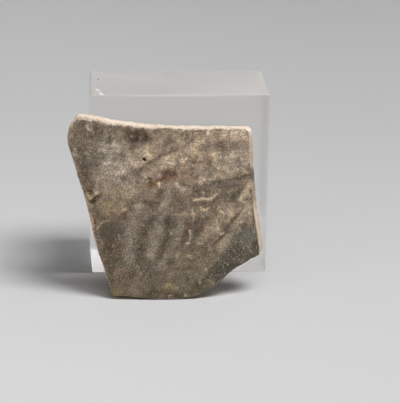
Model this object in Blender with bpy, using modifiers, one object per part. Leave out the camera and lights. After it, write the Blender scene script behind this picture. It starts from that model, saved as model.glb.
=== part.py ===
"""A museum display rest: a clear acrylic block with a pottery sherd leaning back against its front face.

The origin is the centre of the block's underside. +X is to the right, +Y runs from front to back and
+Z is up. Both pieces stand on the plane Z = 0. Lengths are in metres.
"""

import math

import bmesh
import bpy
from mathutils import Matrix, Vector

OBJECT_NAME = "acrylic_display_block"
MM = 0.001
INCH = 25.4 * MM
WELD_DISTANCE = 0.001 * MM

# The block is cut from one-inch cast acrylic sheet and stands two inches tall.
BLOCK_WIDTH = 48.0 * MM
BLOCK_DEPTH = 1.0 * INCH
BLOCK_HEIGHT = 2.0 * INCH
BLOCK_EDGE_EASE = 0.4 * MM
BLOCK_CORNER_RADIUS = 2.5 * MM
BLOCK_CORNER_SEGMENTS = 8
BLOCK_IOR = 1.49

# The sherd is a piece of the wall of a turned vessel: round about the vessel's axis, and bellied up and down.
# Its crest, the line nearest the viewer, and the middle of its belly are placed up and across the lean.
WALL_THICKNESS = 4.8 * MM
WALL_RADIUS = 150.0 * MM
WALL_BELLY_RADIUS = 500.0 * MM
WALL_BLANK_HEIGHT = 64.0 * MM
WALL_BLANK_TURN = math.radians(26)
WALL_BLANK_STEPS = 24
WALL_PROFILE_STEPS = 8
WALL_CREST_X = -4.5 * MM
WALL_CREST_Z = 22.0 * MM

# The sherd's outline on its outer face, clockwise from its lower left corner, in millimetres:
# across from the foot, and up the lean.
OUTLINE_MM = (
    (-18.3, 1.0), (-19.9, 6.0), (-21.8, 12.0), (-23.6, 18.7), (-24.9, 25.0), (-26.8, 30.8),
    (-28.1, 35.6), (-29.4, 39.2), (-29.9, 41.0), (-30.0, 43.2), (-29.6, 45.2), (-28.5, 47.2),
    (-27.6, 48.3), (-26.6, 48.3), (-22.5, 47.9), (-19.0, 47.1), (-14.4, 46.5), (-10.0, 46.0),
    (1.0, 45.4), (9.0, 45.3), (16.6, 45.2), (17.6, 44.3), (17.8, 40.3), (18.1, 32.3), (18.7, 26.5),
    (19.3, 20.7), (19.9, 16.0), (20.3, 13.4), (20.3, 11.2), (16.6, 9.3), (13.8, 7.6), (10.1, 4.5),
    (7.0, 2.4), (3.9, 0.8), (0.4, 0.1), (-5.8, 0.0), (-10.2, 0.4), (-14.6, 0.8),
)

# The breaks run back through the wall at a slant. From the outer face to the inner one they move
# across and up by these lengths, which change evenly over the sherd.
BREAK_ACROSS = 0.9 * MM
BREAK_ACROSS_PER_X = 0.018
BREAK_UP = 1.45 * MM
BREAK_UP_PER_X = -0.006
BREAK_UP_PER_Z = -0.019
BREAK_FRONT_MARGIN = 3.0 * MM
BREAK_BACK_MARGIN = 6.0 * MM

# The sherd leans back until the top of its inner face all but touches the block.
LEAN = math.radians(15.4)
FOOT_X = -0.3 * MM
FOOT_Y = -32.5 * MM


def add_material(obj, name, colour, roughness, transmission=0.0, ior=1.45):
    """Gives the object its own Principled material."""
    material = bpy.data.materials.new(name)
    material.use_nodes = True
    shader = material.node_tree.nodes["Principled BSDF"]
    shader.inputs["Base Color"].default_value = colour
    shader.inputs["Roughness"].default_value = roughness
    shader.inputs["Metallic"].default_value = 0.0
    shader.inputs["Transmission Weight"].default_value = transmission
    shader.inputs["IOR"].default_value = ior
    material.diffuse_color = colour
    obj.data.materials.append(material)


def add_mesh_object(name, bm, collection):
    """Makes a named object from a bmesh and links it to the collection."""
    mesh = bpy.data.meshes.new(name)
    bm.to_mesh(mesh)
    bm.free()
    obj = bpy.data.objects.new(name, mesh)
    collection.objects.link(obj)
    return obj


def make_display_block(collection):
    """A solid clear block: square faces, one rounded back corner and eased edges."""
    bm = bmesh.new()
    bmesh.ops.create_cube(bm, size=1.0)
    bmesh.ops.scale(bm, vec=(BLOCK_WIDTH, BLOCK_DEPTH, BLOCK_HEIGHT), verts=bm.verts)
    bmesh.ops.translate(bm, vec=(0.0, 0.0, BLOCK_HEIGHT / 2), verts=bm.verts)
    back_right = [e for e in bm.edges if all(v.co.x > 0 and v.co.y > 0 for v in e.verts)]
    bmesh.ops.bevel(bm, geom=back_right, offset=BLOCK_CORNER_RADIUS, offset_type="OFFSET",
                    segments=BLOCK_CORNER_SEGMENTS, profile=0.5, affect="EDGES")
    block = add_mesh_object("display_block", bm, collection)
    ease = block.modifiers.new("eased_edges", "BEVEL")
    ease.width = BLOCK_EDGE_EASE
    ease.segments = 2
    ease.limit_method = "ANGLE"
    ease.angle_limit = math.radians(40)
    add_material(block, "clear_acrylic", (0.93, 0.95, 0.94, 1.0), 0.04, transmission=1.0, ior=BLOCK_IOR)
    return block


def make_wall_blank(collection, foot):
    """An uncut piece of the vessel's wall, turned about the vessel's own axis, outer face to the front."""
    bm = bmesh.new()
    previous = None
    for step in range(WALL_PROFILE_STEPS + 1):
        height = WALL_BLANK_HEIGHT * (0.5 - step / WALL_PROFILE_STEPS)
        belly = WALL_BELLY_RADIUS - math.sqrt(WALL_BELLY_RADIUS**2 - height**2)
        vertex = bm.verts.new((WALL_RADIUS - belly, 0.0, height))
        if previous:
            bm.edges.new((previous, vertex))
        previous = vertex
    wall = add_mesh_object("pottery_sherd", bm, collection)
    wall.parent = foot
    wall.location = (WALL_CREST_X, WALL_RADIUS, WALL_CREST_Z)
    wall.rotation_euler = (0.0, 0.0, -math.pi / 2 - WALL_BLANK_TURN / 2)
    turn = wall.modifiers.new("turned_on_the_wheel", "SCREW")
    turn.angle = WALL_BLANK_TURN
    turn.steps = WALL_BLANK_STEPS
    turn.render_steps = WALL_BLANK_STEPS
    turn.use_merge_vertices = False
    turn.merge_threshold = WELD_DISTANCE
    thick = wall.modifiers.new("wall_thickness", "SOLIDIFY")
    thick.thickness = WALL_THICKNESS
    thick.offset = -1.0
    return wall


def slant_break(point):
    """Moves a point of the straight-cut outline solid onto the slanted break."""
    depth = point.y / WALL_THICKNESS
    across = BREAK_ACROSS + BREAK_ACROSS_PER_X * point.x
    up = BREAK_UP + BREAK_UP_PER_X * point.x + BREAK_UP_PER_Z * point.z
    return Vector((point.x + across * depth, point.y, point.z + up * depth))


def make_break_cutter(collection, foot):
    """The solid inside all the breaks: the outline run through the wall at the breaks' slant."""
    curve = bpy.data.curves.new("sherd_outline", "CURVE")
    curve.dimensions = "2D"
    curve.fill_mode = "BOTH"
    curve.extrude = (BREAK_FRONT_MARGIN + WALL_THICKNESS + BREAK_BACK_MARGIN) / 2
    spline = curve.splines.new("POLY")
    spline.points.add(len(OUTLINE_MM) - 1)
    for point, (across, up) in zip(spline.points, OUTLINE_MM):
        point.co = (across * MM, up * MM, 0.0, 1.0)
    spline.use_cyclic_u = True
    outline = bpy.data.objects.new("sherd_outline", curve)
    collection.objects.link(outline)
    bpy.context.view_layer.update()
    evaluated = outline.evaluated_get(bpy.context.evaluated_depsgraph_get())
    mesh = bpy.data.meshes.new_from_object(evaluated)
    bpy.data.objects.remove(outline)

    bm = bmesh.new()
    bm.from_mesh(mesh)
    bpy.data.meshes.remove(mesh)
    bmesh.ops.remove_doubles(bm, verts=bm.verts, dist=WELD_DISTANCE)
    middle = (WALL_THICKNESS + BREAK_BACK_MARGIN - BREAK_FRONT_MARGIN) / 2
    upright = Matrix.Translation((0.0, middle, 0.0)) @ Matrix.Rotation(math.pi / 2, 4, "X")
    bmesh.ops.transform(bm, matrix=upright, verts=bm.verts)
    for vertex in bm.verts:
        vertex.co = slant_break(vertex.co)
    bmesh.ops.triangulate(bm, faces=bm.faces)
    bmesh.ops.recalc_face_normals(bm, faces=bm.faces)
    cutter = add_mesh_object("sherd_breaks", bm, collection)
    cutter.parent = foot
    cutter.hide_render = True
    cutter.display_type = "WIRE"
    return cutter


def make_pottery_sherd(parts, cutters):
    """The wall blank broken out along the outline, standing on its foot and leaning back."""
    foot = bpy.data.objects.new("sherd_foot", None)
    parts.objects.link(foot)
    foot.location = (FOOT_X, FOOT_Y, 0.0)
    foot.rotation_euler = (-LEAN, 0.0, 0.0)
    sherd = make_wall_blank(parts, foot)
    broken_out = sherd.modifiers.new("broken_out", "BOOLEAN")
    broken_out.operation = "INTERSECT"
    broken_out.solver = "EXACT"
    broken_out.object = make_break_cutter(cutters, foot)
    add_material(sherd, "slipped_pottery", (0.22, 0.17, 0.125, 1.0), 0.8)
    return sherd


def main():
    for obj in list(bpy.data.objects):
        bpy.data.objects.remove(obj)
    parts = bpy.data.collections.new(OBJECT_NAME)
    cutters = bpy.data.collections.new("cutters")
    for collection in (parts, cutters):
        bpy.context.scene.collection.children.link(collection)
    make_display_block(parts)
    make_pottery_sherd(parts, cutters)


main()
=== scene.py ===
"""A clear acrylic display block with a slipped pottery sherd leaning back against it."""

import math

import bmesh
import bpy
import numpy as np
from mathutils import Matrix, Vector


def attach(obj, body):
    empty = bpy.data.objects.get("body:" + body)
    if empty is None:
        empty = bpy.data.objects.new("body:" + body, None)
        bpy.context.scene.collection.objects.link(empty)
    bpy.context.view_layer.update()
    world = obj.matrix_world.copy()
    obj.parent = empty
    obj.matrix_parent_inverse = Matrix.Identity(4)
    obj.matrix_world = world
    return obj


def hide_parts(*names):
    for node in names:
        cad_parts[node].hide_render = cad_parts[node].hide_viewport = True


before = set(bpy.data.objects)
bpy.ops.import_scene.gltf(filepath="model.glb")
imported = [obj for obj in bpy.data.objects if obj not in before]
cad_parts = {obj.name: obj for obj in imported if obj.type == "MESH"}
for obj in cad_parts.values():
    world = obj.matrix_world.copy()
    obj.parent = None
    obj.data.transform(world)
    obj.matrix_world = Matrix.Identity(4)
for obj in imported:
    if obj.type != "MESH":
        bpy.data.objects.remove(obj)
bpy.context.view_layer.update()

MM = 0.001


def linear(display):
    """Display values from 0 to 255 as linear values."""
    share = np.asarray(display) / 255.0
    return np.where(share <= 0.04045, share / 12.92, ((share + 0.055) / 1.055) ** 2.4)


def srgb(r, g, b):
    """A colour given as 0-255 display values, as linear values."""
    return (*linear((r, g, b)).tolist(), 1.0)


def add_object(name, mesh):
    obj = bpy.data.objects.new(name, mesh)
    bpy.context.scene.collection.objects.link(obj)
    return obj


RANGE_INPUTS = ("From Min", "From Max", "To Min", "To Max")


class Look:
    """A new material with a Principled shader, and short ways to add nodes to it."""

    def __init__(self, name):
        self.material = bpy.data.materials.new(name)
        self.material.use_nodes = True
        self.nodes = self.material.node_tree.nodes
        self.links = self.material.node_tree.links
        self.shader = self.nodes["Principled BSDF"]

    def add(self, kind, **settings):
        node = self.nodes.new(kind)
        for name, value in settings.items():
            setattr(node, name, value)
        return node

    def feed(self, socket, value):
        """Links another node's output to a socket, or sets a plain number or colour on it."""
        if isinstance(value, bpy.types.NodeSocket):
            self.links.new(value, socket)
        else:
            socket.default_value = value

    def surface(self, name, value):
        self.feed(self.shader.inputs[name], value)

    def attribute(self, name, output="Fac"):
        return self.add("ShaderNodeAttribute", attribute_name=name).outputs[output]

    def spread(self, value, low, high, to_low, to_high, interpolation="LINEAR"):
        """Maps a value from one range to another, and holds it there at the ends."""
        node = self.add("ShaderNodeMapRange", interpolation_type=interpolation)
        for name, number in zip(RANGE_INPUTS, (low, high, to_low, to_high)):
            node.inputs[name].default_value = number
        self.feed(node.inputs["Value"], value)
        return node.outputs["Result"]

    def combine(self, operation, a, b):
        node = self.add("ShaderNodeMath", operation=operation)
        self.feed(node.inputs[0], a)
        self.feed(node.inputs[1], b)
        return node.outputs["Value"]

    def scaled(self, colour, share):
        node = self.add("ShaderNodeVectorMath", operation="SCALE")
        self.feed(node.inputs[0], colour)
        self.feed(node.inputs["Scale"], share)
        return node.outputs["Vector"]

    def mixed(self, amount, first, second):
        """A colour that goes from the first to the second as the amount goes from 0 to 1."""
        node = self.add("ShaderNodeMix", data_type="RGBA")
        self.feed(node.inputs["Factor"], amount)
        self.feed(node.inputs["A"], first)
        self.feed(node.inputs["B"], second)
        return node.outputs["Result"]

    def stretched(self, place, stretch):
        node = self.add("ShaderNodeMapping")
        node.inputs["Scale"].default_value = stretch
        self.feed(node.inputs["Vector"], place)
        return node.outputs["Vector"]

    def noise(self, place, scale, detail=2.0):
        node = self.add("ShaderNodeTexNoise")
        node.inputs["Scale"].default_value = scale
        node.inputs["Detail"].default_value = detail
        self.feed(node.inputs["Vector"], place)
        return node.outputs["Fac"]


# ---------------- stage, lights, camera

FLOOR_HALF_WIDTH = 1.6
FLOOR_GAP = 0.05 * MM
FLOOR_FRONT = -1.2
SWEEP_START = 0.42
SWEEP_RADIUS = 0.35
SWEEP_STEPS = 16
SWEEP_TOP = 1.3
PAPER_GREY = srgb(208, 208, 209)
# Painted light falloff: the paper's colour is a little paler near the camera and to the left: start, end in
# m, shade there.
PAPER_FALLOFF_ACROSS = (-0.12, 0.12, 1.08, 0.90)
PAPER_FALLOFF_BACK = (-0.12, 0.16, 1.12, 0.91)


def make_stage():
    """A pale grey paper sweep: flat under the object, curving up far behind it."""
    profile = [(FLOOR_FRONT, 0.0), (SWEEP_START, 0.0)]
    for step in range(1, SWEEP_STEPS + 1):
        a = math.pi / 2 * step / SWEEP_STEPS
        profile.append((SWEEP_START + SWEEP_RADIUS * math.sin(a), SWEEP_RADIUS * (1 - math.cos(a))))
    profile.append((SWEEP_START + SWEEP_RADIUS, SWEEP_TOP))
    bm = bmesh.new()
    rows = []
    for y, z in profile:
        rows.append([bm.verts.new((x, y, z - FLOOR_GAP)) for x in (-FLOOR_HALF_WIDTH, FLOOR_HALF_WIDTH)])
    for a, b in zip(rows, rows[1:]):
        bm.faces.new((a[0], a[1], b[1], b[0]))
    mesh = bpy.data.meshes.new("paper_sweep")
    bm.to_mesh(mesh)
    bm.free()
    mesh.shade_smooth()
    mesh.materials.append(paper())
    sweep = add_object("paper_sweep", mesh)


def paper():
    look = Look("paper")
    axes = look.add("ShaderNodeSeparateXYZ")
    place = look.add("ShaderNodeNewGeometry").outputs["Position"]
    look.feed(axes.inputs[0], place)
    # Painted light falloff on the paper: paler towards the camera and to the left.
    across = look.spread(axes.outputs["X"], *PAPER_FALLOFF_ACROSS, interpolation="SMOOTHSTEP")
    back = look.spread(axes.outputs["Y"], *PAPER_FALLOFF_BACK, interpolation="SMOOTHSTEP")
    tone = look.scaled(PAPER_GREY[:3], look.combine("MULTIPLY", across, back))
    look.surface("Base Color", tone)
    look.surface("Roughness", 0.9)
    look.surface("Specular IOR Level", 0.2)
    return look.material


# Oval softboxes round the object: azimuth (0 is the front, 90 the right) and elevation in degrees,
# distance in m, size in m and power in W.
LIGHTS = [
    ("key_softbox", 74, 66, 1.0, (0.40, 0.54), 8.0),
    ("front_fill", 0, 76, 0.7, (0.3, 0.3), 0.65),
    ("left_fill", -60, 38, 0.9, (0.3, 0.3), 0.35),
    ("low_side_fill", 92, 28, 0.9, (0.3, 0.3), 0.35),
    ("rear_fill", 150, 50, 0.9, (0.3, 0.3), 0.3),
]
LIGHTS_AIM = Vector((0, 0, 0.02))
# The room is white all round: the polished block mirrors it, but it lights the paper only a little.
WHITE_ROOM = 0.5
SOFT_FILL = 0.06


def make_lights():
    for name, azimuth, elevation, distance, size, watts in LIGHTS:
        a, e = math.radians(azimuth), math.radians(elevation)
        to_light = Vector((math.sin(a) * math.cos(e), -math.cos(a) * math.cos(e), math.sin(e)))
        light = bpy.data.lights.new(name, "AREA")
        light.shape = "ELLIPSE"
        light.size, light.size_y = size
        light.energy = watts
        lamp = add_object(name, light)
        lamp.location = LIGHTS_AIM + to_light * distance
        lamp.rotation_mode = "QUATERNION"
        lamp.rotation_quaternion = to_light.to_track_quat("Z", "Y")


def make_room():
    world = bpy.data.worlds.new("studio")
    bpy.context.scene.world = world
    world.use_nodes = True
    nodes, links = world.node_tree.nodes, world.node_tree.links
    background = nodes["Background"]
    background.inputs["Color"].default_value = (1.0, 1.0, 1.0, 1.0)
    path = nodes.new("ShaderNodeLightPath")
    strength = nodes.new("ShaderNodeMapRange")
    strength.inputs["To Min"].default_value = WHITE_ROOM
    strength.inputs["To Max"].default_value = SOFT_FILL
    links.new(path.outputs["Diffuse Depth"], strength.inputs["Value"])
    links.new(strength.outputs["Result"], background.inputs["Strength"])


CAMERA_PLACE = Vector((-19.5, -403.9, 161.9)) * MM
CAMERA_PITCH = math.radians(19.81)
CAMERA_YAW = math.radians(-3.66)
CAMERA_ROLL = math.radians(0.85)
CAMERA_LENS = 136.4
CAMERA_NEAREST = 0.01


def make_camera():
    data = bpy.data.cameras.new("camera")
    data.sensor_width = 36.0
    data.lens = CAMERA_LENS
    data.clip_start = CAMERA_NEAREST
    camera = add_object("camera", data)
    turn = Matrix.Rotation(CAMERA_YAW, 4, "Z") @ Matrix.Rotation(math.pi / 2 - CAMERA_PITCH, 4, "X")
    camera.matrix_world = Matrix.Translation(CAMERA_PLACE) @ turn @ Matrix.Rotation(CAMERA_ROLL, 4, "Z")
    bpy.context.scene.camera = camera
    bpy.context.scene.view_settings.view_transform = "Standard"


# ---------------- the acrylic block, in mm

BLOCK_WIDTH = 48.0
BLOCK_DEPTH = 25.4
BLOCK_HEIGHT = 50.8
EDGE_EASE = 0.4
EASE_STEPS = 4
CORNER_RADIUS = 2.5
CORNER_STEPS = 10
SIDE_LEVELS = 12
SIDE_PARTS = 36
BASE_STRIPS = range(-22, 23, 2)
SHARP_ANGLE = math.radians(28)
# The front of the top is filed by hand, over this much of its height and depth.
FILED_ZONE = 1.0
CHIP_X = -2.8
CHIP_WIDTH = 0.6
# How far the filing sets the edge back and down in mm: all along, with its waves, at the chip.
FILED_BACK = (0.10, 0.10, 0.35)
FILED_DOWN = (0.03, 0.036, 0.15)
# How much of the ease there is along it: places across, then shares.
EASE_ALONG_FRONT = ((-17.0, -12.0, 10.0, 14.0), (0.25, 1.0, 1.0, 0.45))
# The left side was polished by hand: it stands out a little between its foot and its top.
LEFT_BOW = 0.6
BOW_ALONG_HEIGHT = ((0.0, 8.0, BLOCK_HEIGHT - 2.0, BLOCK_HEIGHT), (0.0, 1.0, 1.0, 0.0))


def block_outline(inset):
    """The block's plan outline, anticlockwise from the front left, set in by a little."""
    half_w, half_d = BLOCK_WIDTH / 2 - inset, BLOCK_DEPTH / 2 - inset
    corners = [
        (-half_w, -half_d, EDGE_EASE, EASE_STEPS, 180),
        (half_w, -half_d, EDGE_EASE, EASE_STEPS, 270),
        (half_w, half_d, CORNER_RADIUS, CORNER_STEPS, 0),
        (-half_w, half_d, EDGE_EASE, EASE_STEPS, 90),
    ]
    points = []
    for x, y, radius, steps, start in corners:
        cx, cy = x - math.copysign(radius, x), y - math.copysign(radius, y)
        for step in range(steps + 1):
            a = math.radians(start + 90 * step / steps)
            points.append((cx + radius * math.cos(a), cy + radius * math.sin(a)))
    divided = []
    for a, b in zip(points, points[1:] + points[:1]):
        parts = SIDE_PARTS if math.dist(a, b) > 5.0 else 1
        for part in range(parts):
            t = part / parts
            divided.append((a[0] + (b[0] - a[0]) * t, a[1] + (b[1] - a[1]) * t))
    return divided


def block_levels():
    """The heights of the block's rings, and how far each is set in for the eased edges."""
    levels = [(0.0, EDGE_EASE)]
    for step in range(1, EASE_STEPS + 1):
        a = math.pi / 2 * step / EASE_STEPS
        levels.append((EDGE_EASE * (1 - math.cos(a)), EDGE_EASE * (1 - math.sin(a))))
    levels += [(z, 0.0) for z in np.linspace(3.0, BLOCK_HEIGHT - 3.0, SIDE_LEVELS)]
    for step in range(0, EASE_STEPS + 1):
        a = math.pi / 2 * step / EASE_STEPS
        levels.append((BLOCK_HEIGHT - EDGE_EASE * (1 - math.sin(a)), EDGE_EASE * (1 - math.cos(a))))
    return levels


def filed(x, y, z, inset):
    """A point near the front of the top, moved by the uneven filing and the one chip."""
    wave = 0.5 * math.sin(0.55 * x + 0.8) + 0.3 * math.sin(1.27 * x) + 0.2 * math.sin(2.9 * x)
    chip = math.exp(-((x - CHIP_X) / CHIP_WIDTH) ** 2)
    back, down = (size[0] + size[1] * wave + size[2] * chip for size in (FILED_BACK, FILED_DOWN))
    y += back * (z - BLOCK_HEIGHT + FILED_ZONE)
    dz = -down * max(0.0, 1.0 - inset / EDGE_EASE)
    if z >= BLOCK_HEIGHT - EDGE_EASE:
        sharp = 1.0 - np.interp(x, *EASE_ALONG_FRONT)
        y -= sharp * inset
        dz += sharp * (BLOCK_HEIGHT - z)
    return y, z + dz


def block_mesh():
    """The block as a stack of rings, with values on its faces for the material."""
    bm = bmesh.new()
    rings = []
    for level, inset in block_levels():
        ring = []
        for x, y in block_outline(inset):
            z = level
            if y < -BLOCK_DEPTH / 2 + FILED_ZONE and level > BLOCK_HEIGHT - FILED_ZONE:
                y, z = filed(x, y, level, inset)
            if x < -BLOCK_WIDTH / 2 + LEFT_BOW:
                x -= LEFT_BOW * np.interp(level, *BOW_ALONG_HEIGHT)
            ring.append(bm.verts.new((x * MM, y * MM, z * MM)))
        rings.append(ring)
    for low, high in zip(rings, rings[1:]):
        for i in range(len(low)):
            j = (i + 1) % len(low)
            bm.faces.new((low[i], low[j], high[j], high[i]))
    bm.faces.new(rings[-1])
    bm.faces.new(list(reversed(rings[0])))
    cut_base_into_strips(bm)
    bm.normal_update()
    note_face_values(bm)
    mesh = bpy.data.meshes.new("display_block_polished")
    bm.to_mesh(mesh)
    bm.free()
    mesh.set_sharp_from_angle(angle=SHARP_ANGLE)
    return mesh


def cut_base_into_strips(bm):
    """Cuts the base across, so that light_passed can change from strip to strip."""
    for x in BASE_STRIPS:
        faces = [face for face in bm.faces if all(vert.co.z < 0.001 * MM for vert in face.verts)]
        edges = list({edge for face in faces for edge in face.edges})
        verts = list({vert for face in faces for vert in face.verts})
        bmesh.ops.bisect_plane(bm, geom=faces + edges + verts, plane_co=(x * MM, 0, 0), plane_no=(1, 0, 0))


def note_face_values(bm):
    passing = bm.faces.layers.float.new("lets_light")
    sawn = bm.faces.layers.float.new("sawn")
    dust = bm.faces.layers.float.new("dust")
    for face in bm.faces:
        face.smooth = True
        middle = face.calc_center_median() / MM
        face[passing] = light_passed(face.normal, middle.x, middle.z)
        face[sawn] = 1.0 if face.normal.z < -0.9 else 0.0
        face[dust] = 1.0 if face.normal.z > 0.5 else 0.0


# The share of a lamp's light that leaves each face of the block towards the paper.
BASE_EASE_PASSES = 0.1
BASE_PASSES = 1.75
BASE_FADE = 0.3
BASE_FADE_START = -20.0
BASE_FADE_LENGTH = 30.0
TOP_PASSES = 0.9
RIGHT_PASSES = 0.85
LEFT_PASSES = 0.07
LEFT_GLOW = 0.33
LEFT_GLOW_HEIGHT = 6.0
BACK_PASSES = 0.35
FRONT_PASSES = 1.0


def light_passed(normal, x, z):
    """The share of light for a face, from its direction and its middle.

    Light that comes in through the top is turned back inside at the upright faces and goes out
    through the base, so the paper beneath is bright and the shadow beside the block is dark.
    The light slants down from the right and gathers along the left of the base, and a little of
    it comes out low down on the left.
    """
    if z < EDGE_EASE and normal.z > -0.97:
        return BASE_EASE_PASSES
    if normal.z < -0.5:
        return BASE_PASSES - BASE_FADE * min(1.0, max(0.0, (x - BASE_FADE_START) / BASE_FADE_LENGTH))
    if normal.z > 0.5:
        return TOP_PASSES
    if normal.x > 0.5:
        return RIGHT_PASSES
    if normal.x < -0.5:
        return LEFT_PASSES + LEFT_GLOW * math.exp(-z / LEFT_GLOW_HEIGHT)
    return BACK_PASSES if normal.y > 0.5 else FRONT_PASSES


# Small white marks and a dark speck on the top face: place in mm, and width. They run front to back.
WHITE_MARKS = [
    ((-22.2, -7.4, 50.8), 0.95),
    ((-21.7, -9.4, 50.8), 0.4),
    ((-21.1, -11.0, 50.8), 1.0),
]
SPECK = ((-22.0, 3.6, 50.8), 0.45)
MARK_SHORTENING = 0.4
MARK_WOBBLE_SCALE = 2200.0
DUST_FILM = 0.14
CLEAR_TINT = (0.965, 0.950, 0.925, 1.0)
DUSTY_TINT = (0.995, 0.955, 0.920, 1.0)
SPECK_COLOUR = (0.12, 0.11, 0.10, 1.0)
POLISHED_ROUGHNESS = 0.3
SAWN_ROUGHNESS = 0.6
ACRYLIC_IOR = 1.49


def make_block():
    mesh = block_mesh()
    mesh.materials.append(clear_acrylic())
    block = add_object("display_block_polished", mesh)
    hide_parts("display_block")
    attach(block, "block")


def clear_acrylic():
    """Dull-polished acrylic with a sawn base, dust and small marks on top, and bright light below."""
    look = Look("clear_acrylic")
    place = look.add("ShaderNodeTexCoord").outputs["Object"]
    place = look.stretched(place, (1.0, MARK_SHORTENING, 1.0))
    wobble = look.noise(place, MARK_WOBBLE_SCALE)

    def mark(middle, width):
        """1 inside a small uneven mark, 0 outside it."""
        away = look.add("ShaderNodeVectorMath", operation="DISTANCE")
        look.feed(away.inputs[0], place)
        x, y, z = middle
        away.inputs[1].default_value = (x * MM, y * MARK_SHORTENING * MM, z * MM)
        uneven = look.combine("MULTIPLY", away.outputs["Value"], wobble)
        return look.spread(uneven, 0.15 * width * MM, 0.35 * width * MM, 1.0, 0.0)

    dust = look.attribute("dust")
    speck = mark(*SPECK)
    covered = look.spread(dust, 0.0, 1.0, 0.0, DUST_FILM)
    for middle, width in WHITE_MARKS:
        covered = look.combine("MAXIMUM", covered, mark(middle, width))
    covered = look.combine("MAXIMUM", covered, speck)
    tint = look.mixed(dust, CLEAR_TINT, DUSTY_TINT)
    roughness = look.spread(look.attribute("sawn"), 0.0, 1.0, POLISHED_ROUGHNESS, SAWN_ROUGHNESS)
    look.surface("Base Color", look.mixed(speck, tint, SPECK_COLOUR))
    look.surface("Transmission Weight", look.spread(covered, 0.0, 1.0, 1.0, 0.0))
    look.surface("Roughness", roughness)
    look.surface("IOR", ACRYLIC_IOR)

    # Lamps shine straight through, by the share on each face, as shadow rays can't bend.
    clear = look.add("ShaderNodeBsdfTransparent")
    look.feed(clear.inputs["Color"], look.attribute("lets_light"))
    path = look.add("ShaderNodeLightPath")
    lighting = look.combine("MAXIMUM", path.outputs["Is Shadow Ray"], path.outputs["Diffuse Depth"])
    choose = look.add("ShaderNodeMixShader")
    look.feed(choose.inputs[0], lighting)
    look.feed(choose.inputs[1], look.shader.outputs["BSDF"])
    look.feed(choose.inputs[2], clear.outputs["BSDF"])
    look.feed(look.nodes["Material Output"].inputs["Surface"], choose.outputs["Shader"])
    return look.material


# ---------------- the sherd's own frame

# The sherd is worked on in its own frame, in mm: x across, y back into the wall, z up the lean.
LEAN = math.radians(15.4)
FOOT_X = -0.3
FOOT_Y = -32.5
WALL_RADIUS = 150.0
BELLY_RADIUS = 500.0
CREST_X = -4.5
CREST_Z = 22.0
DETAIL_SIZE = 0.26


def wall_face(x, z):
    """How far back the outer face of the vessel's wall lies."""
    belly = BELLY_RADIUS - np.sqrt(BELLY_RADIUS**2 - (z - CREST_Z) ** 2)
    return WALL_RADIUS - np.sqrt((WALL_RADIUS - belly) ** 2 - (x - CREST_X) ** 2)


def to_lean(points):
    """World positions in metres to the sherd's own frame in mm."""
    x, y, z = points[:, 0] / MM - FOOT_X, points[:, 1] / MM - FOOT_Y, points[:, 2] / MM
    c, s = math.cos(LEAN), math.sin(LEAN)
    return np.stack([x, c * y - s * z, s * y + c * z], axis=1)


# ---------------- noise and shapes on arrays

def lattice(ix, iz, seed):
    """A fixed pseudo-random value from 0 to 1 for each lattice point."""
    h = (ix.astype(np.int64) * 374761393 + iz.astype(np.int64) * 668265263 + seed * 144269504) & 0xFFFFFFFF
    h = ((h ^ (h >> 13)) * 1274126177) & 0xFFFFFFFF
    h = ((h ^ (h >> 15)) * 224682251) & 0xFFFFFFFF
    return ((h ^ (h >> 16)) & 0xFFFF) / 65535.0


def noise(x, z, size, seed, octaves=3):
    """Smooth fractal noise from -1 to 1, with features of about the given size."""
    total, weight, reach = 0.0, 1.0, 0.0
    for octave in range(octaves):
        u, w = x / size * 2**octave + 17.3 * seed, z / size * 2**octave - 9.1 * seed
        iu, iw = np.floor(u), np.floor(w)
        fu, fw = u - iu, w - iw
        fu, fw = fu * fu * (3 - 2 * fu), fw * fw * (3 - 2 * fw)
        low = lattice(iu, iw, seed) * (1 - fu) + lattice(iu + 1, iw, seed) * fu
        high = lattice(iu, iw + 1, seed) * (1 - fu) + lattice(iu + 1, iw + 1, seed) * fu
        total = total + weight * (low * (1 - fw) + high * fw)
        reach += weight
        weight *= 0.55
    return total / reach * 2 - 1


def smoothstep(low, high, value):
    """0 below a range and 1 above it, rising smoothly in between."""
    t = np.clip((value - low) / (high - low), 0.0, 1.0)
    return t * t * (3 - 2 * t)


def near_line(x, z, points):
    """Distance in mm to a line through a list of points."""
    best = np.full_like(x, 1e9)
    for (ax, az), (bx, bz) in zip(points, points[1:]):
        dx, dz = bx - ax, bz - az
        t = np.clip(((x - ax) * dx + (z - az) * dz) / (dx * dx + dz * dz), 0.0, 1.0)
        best = np.minimum(best, np.hypot(x - ax - t * dx, z - az - t * dz))
    return best


def stroke(x, z, points, width, soft):
    """1 along a line, fading out beyond half its width over a soft edge."""
    return 1.0 - smoothstep(width / 2 - soft / 2, width / 2 + soft / 2, near_line(x, z, points))


def blob(x, z, cx, cz, rx, rz, tilt, soft):
    """1 inside a tilted oval, fading out over a soft edge given as a share of its size."""
    a = math.radians(tilt)
    u = (x - cx) * math.cos(a) + (z - cz) * math.sin(a)
    w = -(x - cx) * math.sin(a) + (z - cz) * math.cos(a)
    return 1.0 - smoothstep(1.0 - soft / 2, 1.0 + soft / 2, np.hypot(u / rx, w / rz))


def strongest(x, z, ovals):
    """The strongest of several soft ovals at each place, from 0 to 1."""
    return np.max([blob(x, z, *oval) for oval in ovals], axis=0)


# ---------------- what the slip looks like

# The painted face as it looks in soft light, lighter towards the top: height on the sherd in mm, then the
# colour there.
FACE_COLOURS = [
    (0.0, (97, 86, 71)),
    (4.0, (106, 95, 79)),
    (10.0, (110, 99, 84)),
    (16.0, (112, 101, 87)),
    (22.0, (117, 103, 88)),
    (28.0, (131, 115, 98)),
    (34.0, (142, 125, 107)),
    (40.0, (147, 130, 112)),
    (46.0, (144, 127, 108)),
]

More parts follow.
